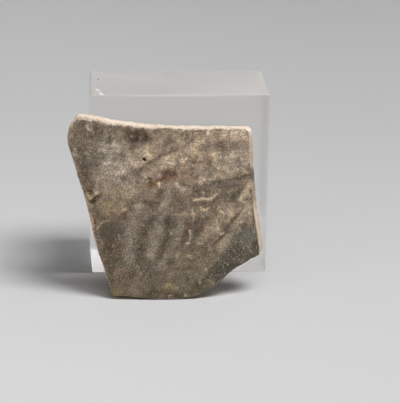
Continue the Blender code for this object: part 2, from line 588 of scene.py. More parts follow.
# Soft patches: middle x and z, half widths, tilt in degrees, softness, strength, colour.
PATCHES = [
    # the pale bloom at the upper left and the dark slip around it
    (-18.6, 38.0, 4.8, 5.4, 0, 1.6, 0.80, (151, 142, 131)),
    (-17.0, 37.0, 2.6, 1.6, 5, 1.8, 0.45, (166, 157, 146)),
    (-19.6, 40.2, 2.4, 1.5, -10, 1.8, 0.40, (160, 152, 141)),
    (-18.0, 33.3, 4.4, 2.8, 0, 1.4, 0.60, (154, 142, 128)),
    (-26.3, 43.0, 2.3, 5.6, 0, 1.0, 0.75, (106, 92, 78)),
    (-26.0, 36.4, 1.8, 3.2, 15, 1.0, 0.75, (96, 84, 68)),
    (-24.7, 32.2, 1.4, 2.8, 18, 1.0, 0.75, (100, 84, 66)),
    (-22.8, 38.0, 1.5, 3.6, 0, 1.2, 0.70, (118, 112, 98)),
    (-23.6, 41.6, 2.0, 1.6, 0, 1.2, 0.50, (114, 102, 90)),
    (-25.3, 47.0, 2.4, 1.2, 0, 1.0, 0.60, (102, 94, 82)),
    (-21.6, 45.6, 1.7, 1.6, 0, 1.0, 0.60, (104, 88, 72)),
    (-20.4, 43.6, 1.4, 1.6, 0, 1.2, 0.40, (132, 124, 112)),
    (-19.0, 45.4, 2.6, 0.9, 0, 1.0, 0.50, (116, 101, 86)),
    (-18.5, 42.3, 0.5, 1.1, 0, 0.9, 0.70, (92, 84, 74)),
    (-11.4, 43.5, 3.5, 1.7, -5, 0.9, 0.90, (88, 71, 55)),
    (-10.3, 43.2, 1.6, 0.9, 0, 1.2, 0.60, (72, 57, 43)),
    (-12.6, 40.6, 1.6, 1.0, 0, 1.0, 0.65, (104, 90, 78)),
    (-15.8, 45.4, 2.1, 0.8, -10, 1.0, 0.60, (98, 82, 66)),
    (-14.8, 42.6, 1.5, 1.7, 0, 1.1, 0.45, (112, 97, 84)),
    # the warm worn area around the pit
    (-8.6, 39.0, 4.6, 2.4, 25, 1.2, 0.75, (164, 143, 119)),
    (-5.6, 41.6, 3.0, 1.8, 20, 1.2, 0.50, (148, 129, 109)),
    (-7.6, 33.9, 2.4, 1.2, 15, 1.0, 0.75, (164, 145, 120)),
    (-12.8, 36.4, 2.0, 1.4, 0, 1.2, 0.50, (158, 143, 128)),
    (-3.0, 38.6, 1.6, 1.3, 20, 1.1, 0.55, (162, 143, 116)),
    (-2.2, 36.0, 1.3, 0.6, 0, 0.8, 0.85, (178, 155, 130)),
    (0.9, 37.4, 1.0, 0.9, 10, 0.8, 0.85, (180, 155, 132)),
    (4.2, 39.3, 1.6, 1.0, -15, 0.9, 0.70, (172, 151, 121)),
    (-4.7, 35.0, 0.6, 0.8, 0, 0.8, 0.70, (168, 150, 112)),
    (5.6, 42.3, 1.2, 1.5, -25, 0.8, 0.75, (174, 153, 124)),
    (4.4, 45.0, 2.0, 0.7, 0, 0.8, 0.65, (104, 86, 72)),
    (-2.4, 45.0, 1.8, 0.7, 0, 1.0, 0.45, (110, 90, 70)),
    (4.2, 44.2, 0.9, 0.3, 10, 0.8, 0.80, (180, 160, 140)),
    (6.7, 44.1, 0.7, 0.35, 0, 0.8, 0.80, (184, 160, 138)),
    (14.4, 43.6, 3.4, 1.2, 0, 1.0, 0.70, (166, 149, 132)),
    (16.5, 43.7, 0.9, 0.8, 0, 0.9, 0.50, (172, 156, 144)),
    # the brush bands at the upper right
    (7.2, 41.0, 1.1, 1.5, -15, 0.8, 0.75, (112, 92, 82)),
    (10.6, 40.9, 1.3, 1.3, 0, 0.8, 0.70, (106, 88, 74)),
    (14.3, 41.0, 1.5, 0.9, 0, 0.9, 0.65, (118, 109, 94)),
    (17.2, 41.0, 0.9, 0.8, 0, 0.9, 0.60, (128, 111, 103)),
    (12.4, 41.3, 1.1, 0.35, -5, 0.8, 0.70, (178, 156, 130)),
    (13.6, 36.6, 5.0, 3.2, 0, 1.2, 0.45, (154, 141, 124)),
    (12.0, 38.7, 2.6, 0.9, 0, 1.0, 0.50, (152, 144, 120)),
    (14.8, 37.2, 0.9, 2.0, 0, 1.0, 0.50, (170, 149, 133)),
    (7.8, 37.0, 1.5, 1.1, 0, 1.2, 0.55, (110, 90, 71)),
    (4.2, 36.6, 1.9, 0.7, -8, 0.8, 0.70, (112, 89, 69)),
    (5.8, 33.5, 0.9, 0.7, 0, 0.9, 0.55, (122, 110, 98)),
    # the red-brown patch in the middle
    (-3.0, 33.2, 2.1, 1.3, -12, 1.0, 0.85, (102, 68, 53)),
    (-4.5, 32.0, 1.1, 0.9, 0, 1.1, 0.75, (106, 72, 56)),
    (-1.6, 33.5, 0.9, 0.7, 0, 0.8, 0.80, (110, 73, 57)),
    (1.4, 33.6, 2.7, 1.9, 0, 1.0, 0.65, (132, 105, 86)),
    (-1.4, 31.3, 1.7, 0.9, -5, 1.0, 0.65, (158, 138, 122)),
    (1.6, 31.6, 1.6, 1.3, 0, 1.0, 0.45, (146, 122, 104)),
    (-13.8, 32.3, 1.2, 0.9, 0, 1.0, 0.75, (110, 97, 89)),
    (-12.4, 31.9, 0.5, 0.9, 0, 0.9, 0.75, (152, 134, 134)),
    (-18.9, 31.0, 1.0, 1.1, 0, 0.9, 0.45, (162, 143, 124)),
    (-8.0, 31.0, 1.1, 0.9, 0, 0.8, 0.85, (90, 65, 42)),
    (-5.7, 32.0, 1.3, 0.7, 10, 0.8, 0.85, (94, 62, 42)),
    (-8.5, 32.5, 0.8, 0.3, 0, 0.8, 0.80, (90, 66, 44)),
    (-10.2, 30.2, 1.2, 1.4, 0, 1.1, 0.50, (112, 94, 76)),
    (-6.0, 30.7, 0.35, 0.85, 0, 0.7, 0.95, (200, 176, 142)),
    (-8.2, 27.9, 1.8, 1.1, 0, 0.9, 0.65, (134, 111, 95)),
    (-16.4, 28.8, 3.6, 1.5, -10, 1.1, 0.60, (150, 133, 108)),
    (-18.6, 27.6, 1.1, 0.6, 0, 1.0, 0.50, (134, 111, 99)),
    (-15.4, 25.7, 0.9, 0.8, 0, 0.9, 0.65, (160, 137, 116)),
    (-13.1, 26.1, 0.9, 0.7, 0, 1.2, 0.65, (90, 72, 52)),
    (-7.6, 25.9, 2.3, 0.9, -5, 0.9, 0.75, (94, 78, 62)),
    (-11.2, 25.1, 0.8, 0.6, 0, 0.8, 0.80, (162, 146, 132)),
    (-3.6, 27.0, 1.2, 1.9, 0, 0.6, 0.90, (132, 118, 103)),
    (-0.8, 27.6, 0.9, 1.4, 0, 0.9, 0.75, (92, 74, 54)),
    (1.9, 27.4, 1.2, 1.0, 0, 1.0, 0.45, (124, 110, 84)),
    (4.0, 29.8, 0.9, 1.8, 0, 0.9, 0.75, (96, 82, 70)),
    (6.6, 29.7, 1.1, 1.0, 0, 0.8, 0.85, (86, 60, 46)),
    (13.4, 30.4, 3.6, 0.9, 5, 0.8, 0.80, (114, 103, 92)),
    (15.0, 28.6, 1.2, 1.7, -20, 0.8, 0.80, (96, 83, 69)),
    # the flake scar and the smooth dark patch on the left
    (-19.2, 24.6, 3.1, 1.9, -8, 0.9, 0.80, (144, 123, 92)),
    (-20.6, 22.6, 1.8, 0.8, -15, 0.9, 0.60, (108, 84, 58)),
    (-22.0, 27.8, 0.6, 0.8, 0, 0.8, 0.90, (82, 68, 48)),
    (-23.2, 26.4, 0.95, 0.7, 0, 0.7, 0.95, (78, 58, 40)),
    (-22.6, 20.2, 0.5, 1.3, 10, 0.8, 0.80, (98, 68, 48)),
    (-19.6, 18.0, 1.9, 2.9, 12, 0.4, 0.97, (86, 76, 58)),
    (-17.0, 18.2, 1.6, 2.2, 0, 0.7, 0.85, (93, 78, 68)),
    (-17.8, 15.2, 2.2, 1.5, 0, 0.8, 0.75, (88, 72, 56)),
    (-18.5, 12.4, 1.9, 2.2, 10, 0.8, 0.75, (86, 70, 52)),
    (-19.8, 10.2, 0.5, 0.9, 0, 0.8, 0.50, (112, 80, 58)),
    (-17.2, 7.4, 1.7, 1.4, 0, 1.0, 0.65, (122, 99, 81)),
    (-15.5, 9.6, 1.3, 1.2, 0, 1.0, 0.50, (94, 84, 68)),
    (-18.4, 5.6, 1.0, 0.6, 0, 0.9, 0.60, (82, 62, 46)),
    (-17.2, 4.0, 1.6, 1.6, 0, 1.0, 0.60, (124, 108, 84)),
    (-16.9, 1.5, 2.0, 1.0, 0, 0.8, 0.80, (136, 120, 80)),
    (-12.4, 3.6, 1.2, 1.8, 0, 1.0, 0.65, (134, 111, 93)),
    (-12.6, 6.9, 1.2, 0.8, 0, 0.9, 0.70, (88, 68, 48)),
    # around the combed columns of the lower middle
    (-15.0, 24.2, 0.6, 0.4, 0, 0.7, 0.95, (190, 165, 140)),
    (-14.7, 22.9, 0.8, 1.0, 0, 0.9, 0.75, (88, 66, 48)),
    (-13.2, 24.1, 0.4, 0.8, 0, 0.9, 0.75, (88, 68, 50)),
    (-11.5, 24.4, 0.8, 0.9, 0, 1.2, 0.50, (150, 139, 124)),
    (-10.6, 19.2, 1.1, 1.4, 0, 1.0, 0.40, (130, 108, 92)),
    (-8.4, 7.4, 1.1, 1.3, 0, 1.0, 0.60, (86, 72, 57)),
    (-6.2, 1.9, 2.7, 1.0, 0, 1.0, 0.75, (82, 72, 46)),
    (-10.6, 9.2, 1.4, 1.2, 0, 1.0, 0.40, (118, 108, 94)),
    (3.4, 19.0, 3.2, 2.1, 0, 1.2, 0.65, (100, 82, 67)),
    (4.8, 18.7, 1.4, 1.0, 0, 1.2, 0.60, (88, 68, 54)),
    (4.4, 21.6, 3.0, 0.9, 0, 1.0, 0.60, (106, 86, 70)),
    (3.4, 13.6, 3.4, 1.7, 0, 1.0, 0.55, (98, 82, 62)),
    (5.9, 13.2, 0.9, 1.3, 0, 1.2, 0.50, (84, 68, 50)),
    (-3.6, 20.8, 1.5, 0.9, 0, 1.0, 0.65, (90, 76, 58)),
    (-3.2, 10.4, 1.4, 0.7, 0, 0.9, 0.55, (92, 80, 66)),
    (-0.9, 12.2, 0.6, 1.3, 0, 0.9, 0.60, (152, 136, 108)),
    (1.8, 8.3, 1.2, 0.5, 12, 0.8, 0.80, (72, 60, 43)),
    (2.2, 7.4, 1.1, 0.6, 0, 0.9, 0.55, (134, 121, 103)),
    (-1.4, 8.4, 0.7, 0.4, 0, 0.8, 0.60, (94, 68, 46)),
    (-2.3, 6.9, 2.1, 0.9, 0, 1.0, 0.60, (132, 112, 91)),
    (-2.7, 3.7, 1.7, 0.7, -8, 0.9, 0.90, (148, 140, 96)),
    (-2.0, 2.4, 2.4, 0.6, -6, 0.9, 0.60, (112, 96, 70)),
    (-1.8, 1.3, 2.8, 0.7, 0, 0.9, 0.75, (84, 67, 49)),
    (4.2, 3.6, 2.6, 1.3, 30, 1.0, 0.60, (80, 69, 49)),
    # the warm mottled ground and the pale diagonal strokes of the lower right
    (3.0, 10.6, 5.4, 4.4, 0, 1.8, 0.45, (120, 103, 78)),
    (7.6, 19.0, 1.6, 1.6, 0, 1.0, 0.50, (148, 130, 108)),
    (12.6, 22.2, 1.6, 1.2, 40, 1.0, 0.60, (156, 138, 118)),
    (9.0, 11.2, 1.2, 1.0, 0, 1.0, 0.50, (130, 118, 102)),
    (17.4, 22.0, 1.6, 2.2, -25, 1.0, 0.45, (142, 128, 110)),
]

# Brushed and rubbed lines: points in mm, width, softness, strength, colour.
LINES = [
    ([(-11.2, 25.4), (-12.4, 21.6), (-13.6, 17.8), (-13.9, 11.6)], 2.2, 1.5, 0.65, (140, 131, 115)),
    ([(-3.0, 28.6), (-4.5, 24.4), (-5.7, 20.2), (-7.2, 15.6), (-8.0, 11.6)],
     2.0, 1.4, 0.65, (136, 125, 111)),
    ([(-0.3, 20.0), (-1.1, 15.8), (-3.4, 12.4), (-5.6, 8.6)], 2.0, 1.4, 0.65, (132, 124, 109)),
    ([(-8.7, 20.8), (-10.4, 15.8), (-11.2, 10.2)], 2.0, 2.0, 0.70, (80, 70, 56)),
    ([(-3.3, 21.4), (-3.6, 17.2), (-5.0, 14.4), (-6.0, 11.6)], 1.7, 1.8, 0.70, (80, 68, 53)),
    ([(1.8, 20.0), (0.6, 15.2)], 1.4, 1.4, 0.60, (84, 68, 54)),
    ([(-0.6, 40.3), (-4.0, 38.8), (-9.0, 36.2), (-10.8, 34.7)], 0.9, 0.8, 0.85, (110, 91, 72)),
    ([(5.4, 44.6), (1.0, 41.0), (-2.4, 39.6)], 0.7, 0.8, 0.50, (118, 99, 78)),
    ([(6.8, 40.2), (10.5, 40.6), (14.0, 41.0), (18.2, 41.2)], 1.9, 1.1, 0.60, (118, 103, 90)),
    ([(6.6, 30.3), (11.0, 30.6), (15.0, 31.1), (18.4, 32.1)], 2.1, 0.7, 0.90, (108, 96, 83)),
    ([(6.6, 31.4), (10.8, 31.7), (14.6, 32.2), (18.6, 33.2)], 0.6, 0.6, 0.75, (84, 73, 60)),
    ([(18.8, 31.2), (17.2, 29.0), (15.8, 26.8)], 1.3, 0.9, 0.75, (144, 132, 109)),
    ([(16.8, 30.0), (14.6, 28.0), (13.6, 26.6)], 0.8, 0.8, 0.60, (84, 72, 58)),
    ([(-1.6, 31.0), (0.0, 30.0), (1.4, 29.5)], 0.7, 0.7, 0.70, (172, 151, 134)),
    ([(3.4, 26.5), (5.4, 27.0), (7.4, 27.1), (9.4, 28.1)], 0.60, 0.25, 1.00, (200, 177, 149)),
    ([(5.7, 28.7), (5.8, 27.3)], 0.55, 0.35, 1.00, (198, 174, 148)),
    ([(5.0, 26.0), (7.6, 25.7), (9.8, 26.9)], 1.0, 1.0, 0.65, (88, 69, 53)),
    ([(5.0, 25.0), (9.6, 25.2)], 1.4, 1.2, 0.45, (98, 80, 62)),
    ([(-16.5, 17.7), (-15.9, 16.3)], 0.3, 0.3, 0.90, (174, 154, 134)),
    ([(-22.0, 19.2), (-21.4, 20.2), (-20.3, 21.1), (-18.6, 21.5)], 0.45, 0.4, 0.90, (162, 141, 112)),
    ([(-24.9, 28.4), (-23.8, 27.3), (-22.3, 28.8)], 0.9, 0.5, 0.95, (182, 165, 126)),
    ([(-24.8, 29.7), (-23.5, 29.0)], 0.4, 0.4, 0.85, (88, 62, 40)),
    ([(-24.4, 46.4), (-23.6, 45.4), (-22.9, 44.3)], 0.75, 0.4, 0.95, (188, 167, 150)),
    ([(-28.4, 40.6), (-27.6, 39.4)], 0.3, 0.3, 0.80, (196, 176, 150)),
    ([(-28.0, 38.6), (-26.8, 38.7)], 0.3, 0.3, 0.80, (190, 170, 148)),
    ([(-24.6, 40.9), (-22.6, 40.8)], 0.35, 0.4, 0.60, (156, 142, 128)),
    ([(5.2, 15.8), (9.5, 20.3), (14.2, 24.2)], 2.4, 1.2, 0.60, (140, 124, 105)),
    ([(17.2, 25.0), (14.4, 21.9), (12.4, 19.3), (10.8, 17.2), (8.6, 14.2)],
     0.9, 0.5, 0.80, (90, 75, 60)),
    ([(11.2, 17.6), (9.2, 15.4)], 0.9, 0.9, 0.70, (78, 62, 48)),
    ([(18.4, 25.0), (15.4, 20.2), (12.8, 17.0), (10.4, 13.2)], 2.2, 0.9, 0.65, (142, 130, 109)),
    ([(11.4, 18.0), (10.8, 17.6)], 0.6, 0.4, 0.90, (184, 160, 140)),
    ([(-2.2, 25.0), (-2.1, 22.9)], 0.3, 0.3, 0.85, (172, 150, 122)),
    ([(-1.7, 23.1), (-0.1, 22.9)], 0.35, 0.3, 0.90, (186, 164, 134)),
    ([(3.2, 24.0), (3.4, 21.4)], 0.5, 0.4, 0.85, (176, 154, 130)),
    ([(5.0, 24.6), (6.4, 24.0), (7.2, 24.6)], 0.6, 0.4, 0.90, (184, 164, 124)),
    ([(10.2, 24.6), (10.6, 23.6), (11.2, 23.0)], 0.6, 0.4, 0.85, (180, 158, 122)),
    ([(-3.3, 18.7), (-2.6, 18.0), (-3.0, 17.5)], 0.4, 0.3, 0.90, (178, 156, 124)),
    ([(2.0, 18.7), (2.4, 17.6), (2.3, 16.0)], 0.4, 0.3, 0.85, (182, 158, 138)),
    ([(1.3, 15.0), (2.3, 15.3)], 0.4, 0.3, 0.90, (192, 166, 136)),
    ([(4.8, 15.3), (5.9, 14.9)], 0.4, 0.4, 0.85, (176, 150, 124)),
    ([(1.6, 11.7), (2.9, 11.3)], 0.6, 0.5, 0.80, (162, 142, 118)),
    ([(5.0, 5.6), (5.1, 4.3)], 0.4, 0.3, 0.85, (166, 142, 118)),
    ([(6.4, 8.2), (7.2, 7.7)], 0.4, 0.3, 0.85, (176, 148, 134)),
    ([(1.2, 1.6), (1.3, 1.0)], 0.5, 0.3, 0.85, (172, 146, 126)),
    ([(-3.3, 1.25), (-2.6, 1.2)], 0.4, 0.3, 0.80, (176, 148, 134)),
    ([(-13.0, 43.6), (-12.6, 43.3)], 0.3, 0.3, 0.90, (200, 182, 158)),
    ([(7.4, 45.3), (7.2, 44.3)], 0.6, 0.4, 0.85, (206, 184, 162)),
    ([(11.4, 35.8), (13.6, 35.7)], 0.3, 0.3, 0.80, (186, 166, 142)),
    ([(6.0, 32.6), (6.3, 31.4)], 0.5, 0.5, 0.70, (170, 150, 134)),
]

# Broad washes, lighter or darker: middle x and z, half widths, tilt, change.
WASHES = [
    (-22.5, 44.0, 2.0, 1.6, 0, -0.15), (-18.0, 43.8, 1.6, 1.2, 0, -0.15), (-20.0, 40.6, 1.4, 1.0, 0, -0.12),
    (-24.0, 37.5, 3.0, 4.5, 0, -0.10), (-16.5, 38.3, 1.8, 1.2, 0, -0.14), (-11.0, 34.0, 1.4, 1.2, 0, -0.10),
    (-9.8, 41.8, 2.0, 1.1, 0, -0.14), (0.0, 31.2, 1.2, 1.0, 0, -0.12), (-5.7, 28.0, 1.1, 2.2, 0, -0.15),
    (3.6, 26.4, 2.8, 2.8, 0, -0.11), (6.2, 28.0, 1.4, 0.8, 0, -0.12), (11.2, 27.5, 2.8, 2.2, 0, -0.13),
    (3.4, 44.6, 2.4, 1.0, 0, -0.12), (-3.0, 42.4, 2.4, 2.2, 0, -0.06), (12.0, 34.5, 1.9, 1.4, 0, -0.10),
    (10.4, 39.2, 1.2, 1.0, 0, -0.10), (-2.2, 24.0, 1.2, 2.2, 0, -0.10), (-1.8, 19.3, 1.6, 1.0, 0, -0.12),
    (-12.0, 18.6, 3.2, 1.6, 0, -0.07), (3.0, 16.4, 2.8, 1.1, 0, -0.11), (-18.7, 9.0, 1.2, 1.8, 0, -0.15),
    (-16.3, 11.0, 1.3, 1.2, 0, -0.12), (-8.8, 9.4, 1.5, 1.2, 0, -0.12), (-7.2, 5.0, 2.4, 1.0, 0, -0.12),
    (-9.0, 38.8, 1.4, 1.2, 0, 0.12), (-12.6, 36.8, 1.3, 1.2, 0, 0.12), (-3.6, 36.8, 2.0, 1.5, 0, 0.17),
    (-1.0, 39.4, 1.2, 1.6, 0, 0.12), (2.4, 41.0, 1.6, 1.2, 0, 0.10), (7.0, 41.6, 1.5, 1.2, 0, 0.15),
    (8.2, 38.0, 1.8, 1.8, 0, 0.20), (6.4, 31.6, 2.0, 0.9, 0, 0.18), (-7.0, 32.0, 3.6, 1.4, 0, 0.11),
    (-12.4, 29.0, 2.4, 1.4, 0, 0.12), (-13.5, 26.6, 1.2, 1.0, 0, 0.10), (13.5, 43.5, 2.6, 1.3, 0, 0.12),
    (16.6, 27.5, 1.7, 5.0, 0, 0.12), (12.0, 22.5, 2.4, 1.8, 30, 0.20), (9.2, 18.5, 1.4, 2.2, 0, 0.20),
    (9.8, 14.8, 1.2, 1.8, 0, 0.20), (17.0, 14.6, 2.8, 1.0, 0, 0.18), (1.0, 22.7, 1.1, 0.9, 0, 0.12),
    (-14.5, 15.5, 1.4, 1.0, 0, 0.10), (-11.5, 7.0, 1.2, 1.2, 0, 0.10),
    (2.6, 19.4, 2.6, 1.6, 0, -0.06),
    (-20.0, 30.6, 3.0, 2.0, 0, -0.05),
]

# The dark slip left in the lower right corner, and the smooth grey skin at its top.
DARK_CORNER = [
    (16.6, 19.0), (20.6, 18.6), (22.0, 15.0), (21.0, 12.0), (15.0, 7.4), (10.0, 4.4), (6.2, 5.9),
    (7.4, 8.2), (9.4, 9.9), (11.0, 12.2), (12.7, 14.0), (14.6, 15.5), (15.6, 17.6),
]
GREY_SKIN = [(15.3, 16.0), (16.7, 18.7), (20.4, 18.3), (20.9, 16.4), (19.4, 15.4), (16.2, 15.1)]

# Where the slip is still whole and the grain is quiet: x, z, half widths, tilt, softness.
QUIET = [
    (-19.7, 18.2, 2.1, 3.1, 12, 0.35),
    (-17.0, 18.6, 1.6, 2.2, 0, 0.6),
    (18.0, 17.0, 2.8, 1.8, 0, 0.4),
    (13.4, 30.7, 3.8, 0.9, 5, 0.6),
    (-3.6, 27.0, 1.2, 1.9, 0, 0.8),
    (-8.2, 27.9, 1.6, 0.9, 0, 0.9),
    (-13.0, 21.0, 1.2, 2.2, 5, 1.0),
    (-26.4, 44.6, 1.4, 2.2, 0, 1.0),
    (-25.6, 35.2, 1.2, 1.2, 0, 1.0),
    (-2.8, 12.8, 1.0, 1.1, 0, 0.9),
    (-12.4, 3.6, 1.0, 1.6, 0, 1.0),
    (-16.7, 3.2, 1.4, 1.8, 0, 1.0),
    (14.3, 41.0, 1.3, 0.8, 0, 0.9),
]

# Where the wheel's fine horizontal lines show most.
STRIATED = [
    (-19.5, 38.0, 6.0, 6.0, 0, 1.2),
    (13.0, 35.6, 6.6, 4.6, 0, 0.9),
    (-7.0, 22.0, 4.0, 5.0, 0, 1.2),
    (-7.0, 13.0, 4.0, 4.0, 0, 1.2),
    (16.5, 22.0, 3.0, 4.0, 0, 1.2),
    (12.6, 30.6, 5.0, 1.2, 0, 1.0),
    (3.0, 20.8, 4.0, 2.6, 0, 1.2),
]

# Where the pale clay shows through most as flecks.
FLECKED = [
    (5.0, 25.0, 5.0, 3.4, 0, 1.2),
    (4.0, 9.0, 6.5, 4.6, 20, 1.2),
    (14.0, 12.6, 5.4, 3.4, 35, 0.8),
    (-14.0, 21.5, 3.0, 2.6, 0, 1.2),
    (2.0, 15.0, 3.0, 3.0, 0, 1.2),
    (7.0, 38.6, 2.6, 2.6, 0, 1.2),
    (-13.0, 8.0, 4.0, 4.0, 0, 1.4),
]

BREAK_BUFF = (244, 224, 203)
INNER_BUFF = (176, 150, 120)

# The outer face's edge, in mm on the sherd.
EDGE = [
    (-18.3, 1.0), (-19.9, 6.0), (-21.8, 12.0), (-23.6, 18.7), (-24.9, 25.0), (-26.8, 30.8),
    (-28.1, 35.6), (-29.4, 39.2), (-29.9, 41.0), (-30.0, 43.2), (-29.6, 45.2), (-28.5, 47.2),
    (-27.6, 48.3), (-26.6, 48.3), (-22.5, 47.9), (-19.0, 47.1), (-14.4, 46.5), (-10.0, 46.0),
    (1.0, 45.4), (9.0, 45.3), (16.6, 45.2), (17.6, 44.3), (17.8, 40.3), (18.1, 32.3), (18.7, 26.5),
    (19.3, 20.7), (19.9, 16.0), (20.3, 13.4), (20.3, 11.2), (16.6, 9.3), (13.8, 7.6), (10.1, 4.5),
    (7.0, 2.4), (3.9, 0.8), (0.4, 0.1), (-5.8, 0.0), (-10.2, 0.4), (-14.6, 0.8), (-18.3, 1.0),
]


def inside(x, z, points):
    """1 where a place is inside a closed outline."""
    crossings = np.zeros(len(x), dtype=bool)
    for (ax, az), (bx, bz) in zip(points, points[1:] + points[:1]):
        spans = (az > z) != (bz > z)
        at = ax + (z - az) * (bx - ax) / ((bz - az) if bz != az else 1e-9)
        crossings ^= spans & (x < at)
    return crossings


def area(x, z, points, soft):
    """1 inside an outline, fading out across a soft edge."""
    distance = near_line(x, z, points + points[:1])
    signed = np.where(inside(x, z, points), distance, -distance)
    return smoothstep(-soft / 2, soft / 2, signed)


def lay(colours, amount, colour):
    """Lays one colour over the painted colours by an amount from 0 to 1."""
    return colours + amount[:, None] * (np.array(colour) - colours)


def broken_up(amount, grain, share):
    """Turns a soft edge into one made of grains: the share says how much is grain."""
    grains = smoothstep(0.28, 0.72, amount + 1.1 * grain)
    return amount * (1 - share) + np.sqrt(np.clip(amount, 0, 1)) * share * grains


LIGHTNESS_WEIGHTS = np.array([0.30, 0.59, 0.11])
USUAL_HUE = np.array([1.108, 0.990, 0.858])


def muted(colours, share):
    """Draws colours towards the slip's usual brown-grey, keeping their lightness."""
    grey = colours @ LIGHTNESS_WEIGHTS
    usual = grey[:, None] * USUAL_HUE
    return colours + share * (usual - colours)


def paint_face(x, z):
    """The outer face's colour (0-255 display values) and how quiet and striated it is."""
    wx = x + 0.45 * noise(x, z, 1.9, 11, 4)
    wz = z + 0.40 * noise(x, z, 1.8, 12, 4)
    jx = wx + 0.22 * noise(x, z, 0.55, 14, 2)
    jz = wz + 0.22 * noise(x, z, 0.55, 15, 2)
    grain = noise(x, z, 0.9, 13, 4)
    fine = noise(x, z, 0.6, 16, 3)
    heights = [height for height, _ in FACE_COLOURS]
    base = np.stack([np.interp(z, heights, [c[i] for _, c in FACE_COLOURS]) for i in range(3)], axis=1)
    colours = base
    for cx, cz, rx, rz, tilt, soft, strength, colour in PATCHES:
        amount = blob(wx, wz, cx, cz, rx * 1.05, rz * 1.05, tilt, soft + 0.5)
        colours = lay(colours, strength * broken_up(amount, grain, 0.65), colour)
    for points, width, soft, strength, colour in LINES:
        amount = stroke(jx, jz, points, width * 1.1, soft + 0.2)
        colours = lay(colours, strength * broken_up(amount, fine if width < 0.7 else grain, 0.75), colour)
    dark = broken_up(area(wx, wz, DARK_CORNER, 1.4), grain, 0.7)
    colours = lay(colours, 0.92 * dark, (79, 75, 64))
    colours = lay(colours, 0.60 * dark * blob(wx, wz, 15.0, 11.4, 1.2, 1.2, 0, 1.0), (88, 78, 80))
    colours = lay(colours, 0.90 * area(wx, wz, GREY_SKIN, 0.6), (98, 95, 87))
    colours = muted(base + 1.14 * (colours - base), 0.33)
    for *oval, change in WASHES:
        colours = colours * (1.0 + change * blob(wx, wz, *oval, 1.3))[:, None]

    quiet, striated = strongest(x, z, QUIET), strongest(x, z, STRIATED)
    lively = (1.0 - 0.85 * quiet) * (0.80 + 0.35 * smoothstep(14.0, 30.0, z + 0.5 * x))
    shade = 1.0 + 0.05 * noise(x, z, 3.2, 31, 2)
    shade += lively * (0.15 * np.tanh(2.4 * noise(x, z, 1.2, 32, 4)) + 0.13 * noise(x, z, 0.5, 33, 2))
    shade += (0.04 + 0.13 * striated) * noise(x * 0.18, z, 0.46, 34, 2)
    warmth = 0.020 * noise(x, z, 1.8, 35, 3)
    colours = colours * (shade[:, None] * np.stack([1 + warmth, np.ones_like(x), 1 - warmth * 1.6], axis=1))

    bare = smoothstep(0.40, 0.62, noise(x, z, 0.8, 38, 3) + 0.16 * noise(x, z, 4.0, 37, 2))
    colours = lay(colours, 0.40 * bare * lively, (182, 166, 142))
    sunk = smoothstep(0.30, 0.58, noise(x, z, 0.9, 39, 3) + 0.18 * noise(x, z, 3.5, 40, 2))
    colours = lay(colours, 0.35 * sunk * lively, (80, 69, 55))
    return colours, quiet, striated, bare


def paint_break(x, z, depth):
    """The broken edge: pale buff clay, pinker and browner in places."""
    along = x * 0.9 + z * 1.1
    shade = 1.0 + 0.05 * noise(along, depth, 2.0, 51, 3) + 0.07 * noise(along, depth, 0.7, 52, 3)
    colours = np.array(BREAK_BUFF) * shade[:, None]
    olive = smoothstep(38.5, 41.0, z) * (1 - smoothstep(45.5, 47.0, z)) * (x < -20)
    olive = np.maximum(olive, (1 - smoothstep(4.0, 6.5, z)) * (x < -12) * 0.9)
    colours = lay(colours, 0.80 * olive, (176, 164, 104))
    pink = (x < -20) * smoothstep(18, 21, z) * (1 - smoothstep(27, 31, z))
    colours = lay(colours, 0.80 * pink, (196, 158, 130))
    brown = (x < -17) * smoothstep(5, 9, z) * (1 - smoothstep(17, 20, z))
    colours = lay(colours, 0.45 * brown, (214, 178, 132))
    right = smoothstep(13.0, 15.0, x)
    worn = 0.45 + 0.35 * smoothstep(-0.2, 0.3, noise(along, depth, 1.6, 54, 3))
    colours = lay(colours, right * (1 - smoothstep(42.5, 44.5, z)) * worn, (186, 166, 142))
    olive = right * smoothstep(33.0, 36.0, z) * (1 - smoothstep(41.0, 44.5, z))
    colours = lay(colours, 0.50 * olive, (200, 182, 156))
    pink = right * smoothstep(19.0, 21.0, z) * (1 - smoothstep(28.0, 31.0, z))
    colours = lay(colours, 0.45 * pink, (232, 204, 184))
    # Dark bands of dirt on the right break, and painted shade below about 12 mm, where the right break
    # turns down towards the floor.
    dirt_and_low_shade = np.maximum(1 - smoothstep(10.5, 12.5, z), np.exp(-((z - 33.0) / 2.0) ** 4))
    dirt_and_low_shade = right * np.maximum(dirt_and_low_shade, 0.45 * np.exp(-((z - 28.5) / 3.0) ** 4))
    colours = lay(colours, 0.90 * dirt_and_low_shade, (102, 91, 77))
    # Painted shade: the break is darker low down, where it faces the floor.
    low = (1 - smoothstep(3.0, 9.0, z)) * (x > -12)
    colours = lay(colours, 0.50 * low, (120, 104, 84))
    grime = smoothstep(0.30, 0.62, noise(along, depth, 1.1, 53, 3))
    return lay(colours, 0.45 * grime, (150, 124, 96))


def paint_inside(x, z):
    """The vessel's inner face: plain buff clay with wheel ridges and grey-white crust."""
    shade = 1.0 + 0.06 * noise(x * 0.12, z, 1.6, 61, 3) + 0.08 * noise(x, z, 1.0, 62, 3)
    colours = np.array(INNER_BUFF) * shade[:, None]
    colours = lay(colours, 0.5 * smoothstep(0.1, 0.6, noise(x, z, 7.0, 63, 3)), (138, 114, 90))
    colours = lay(colours, 0.6 * smoothstep(0.25, 0.6, noise(x, z, 3.0, 64, 4)), (196, 182, 160))
    return lay(colours, 0.6 * smoothstep(0.45, 0.6, noise(x, z, 0.8, 65, 2)), (104, 84, 64))


